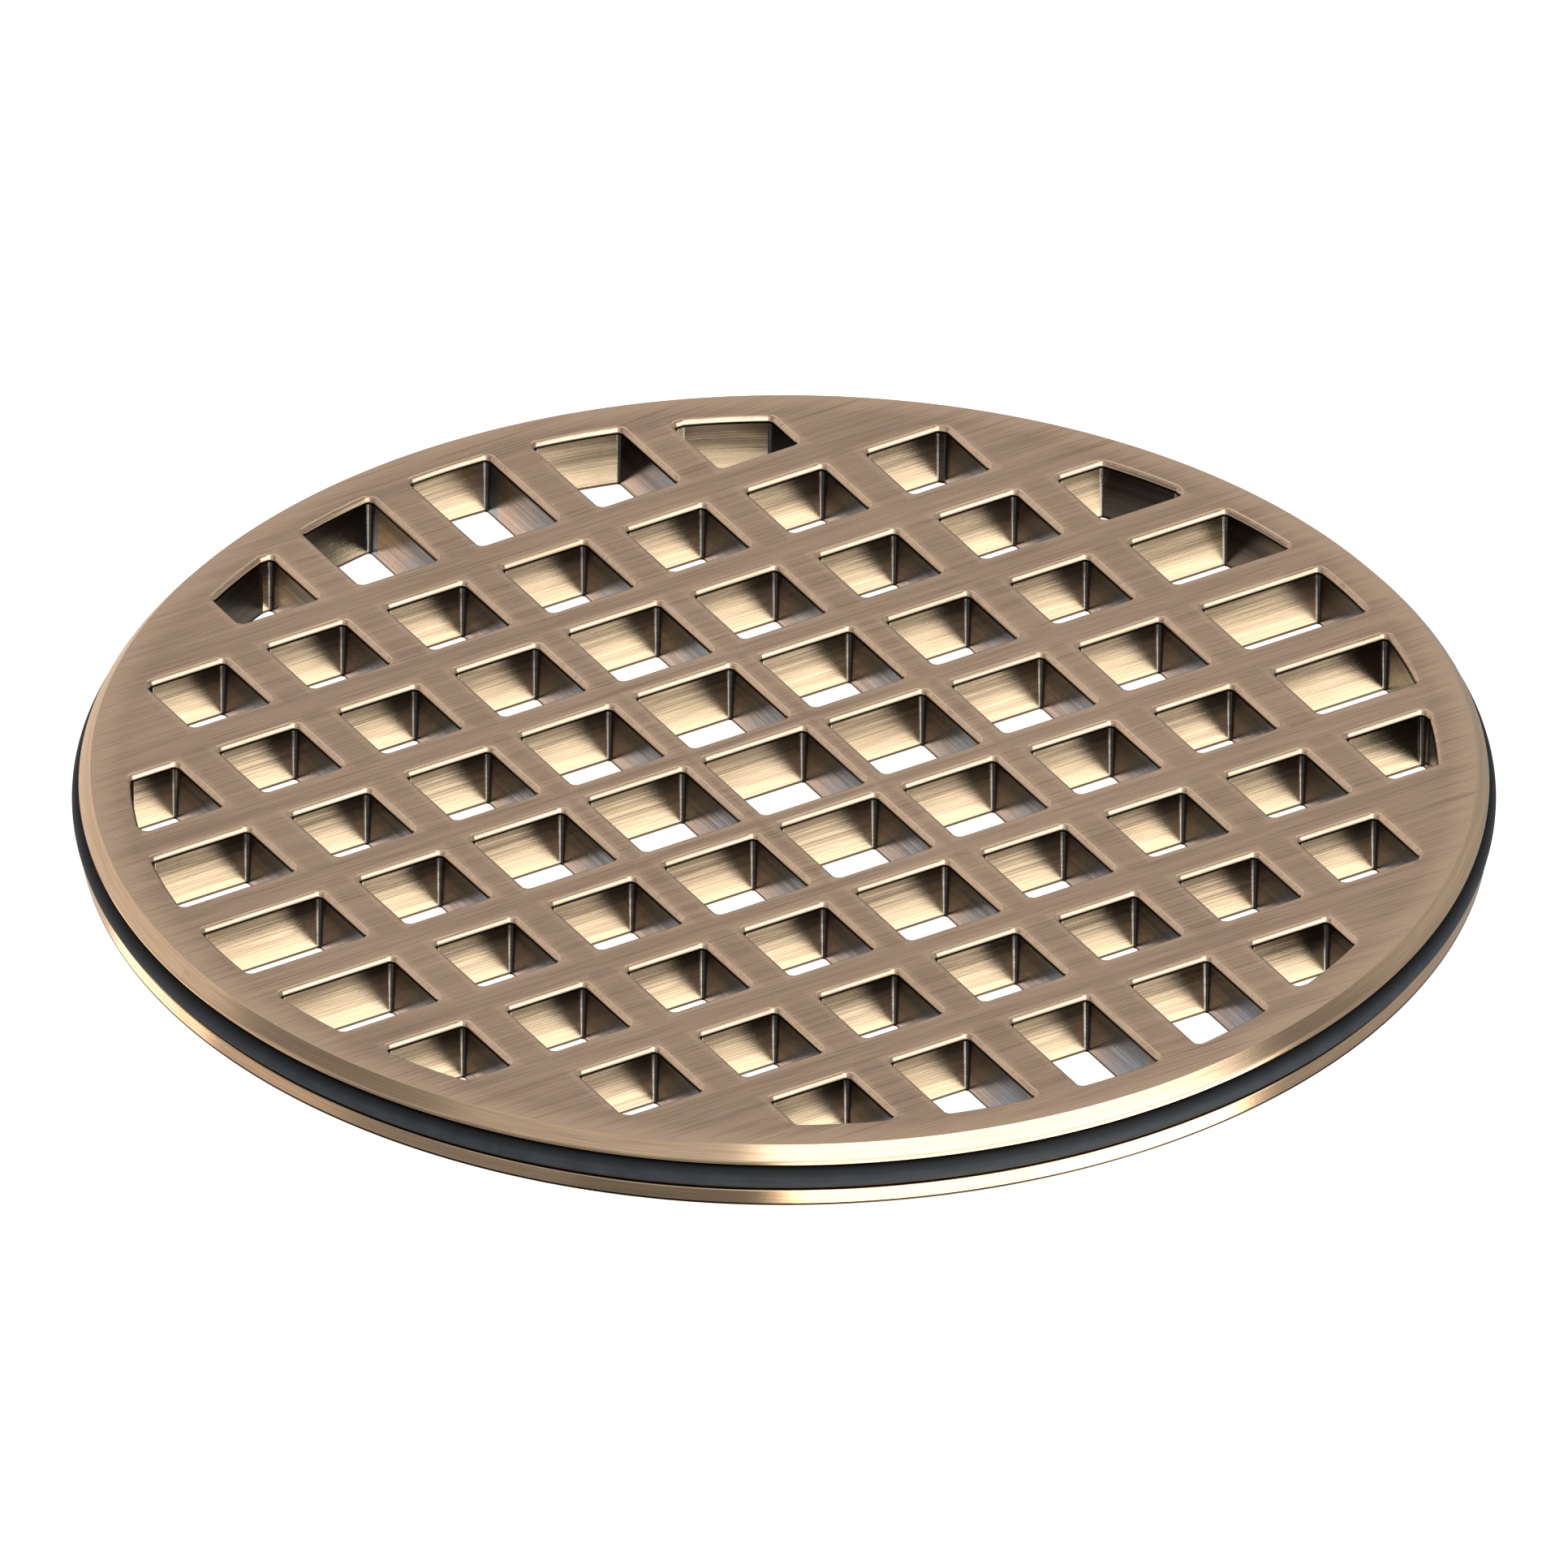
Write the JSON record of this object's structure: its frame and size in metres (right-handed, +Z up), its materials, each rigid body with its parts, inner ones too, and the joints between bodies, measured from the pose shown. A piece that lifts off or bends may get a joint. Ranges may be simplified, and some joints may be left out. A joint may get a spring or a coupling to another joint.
{
  "type": "floor drain grate cover",
  "caption": "Round flat drain grate of satin bronze-toned brass with a square lattice of holes and a black rubber seal ring in its rim groove.",
  "frame": {"origin": "centre of the disc on the plane of its underside", "axes": "+Z up out of the top face along the disc's axis, +X and +Y along the rows and columns of holes"},
  "size_m": [0.109, 0.109, 0.005],
  "materials": {
    "brushed_bronze": "satin",
    "black_rubber": "matte"
  },
  "bodies": {
    "root": {"grate_plate": "brushed_bronze", "seal_ring": "black_rubber"}
  },
  "joints": []
}
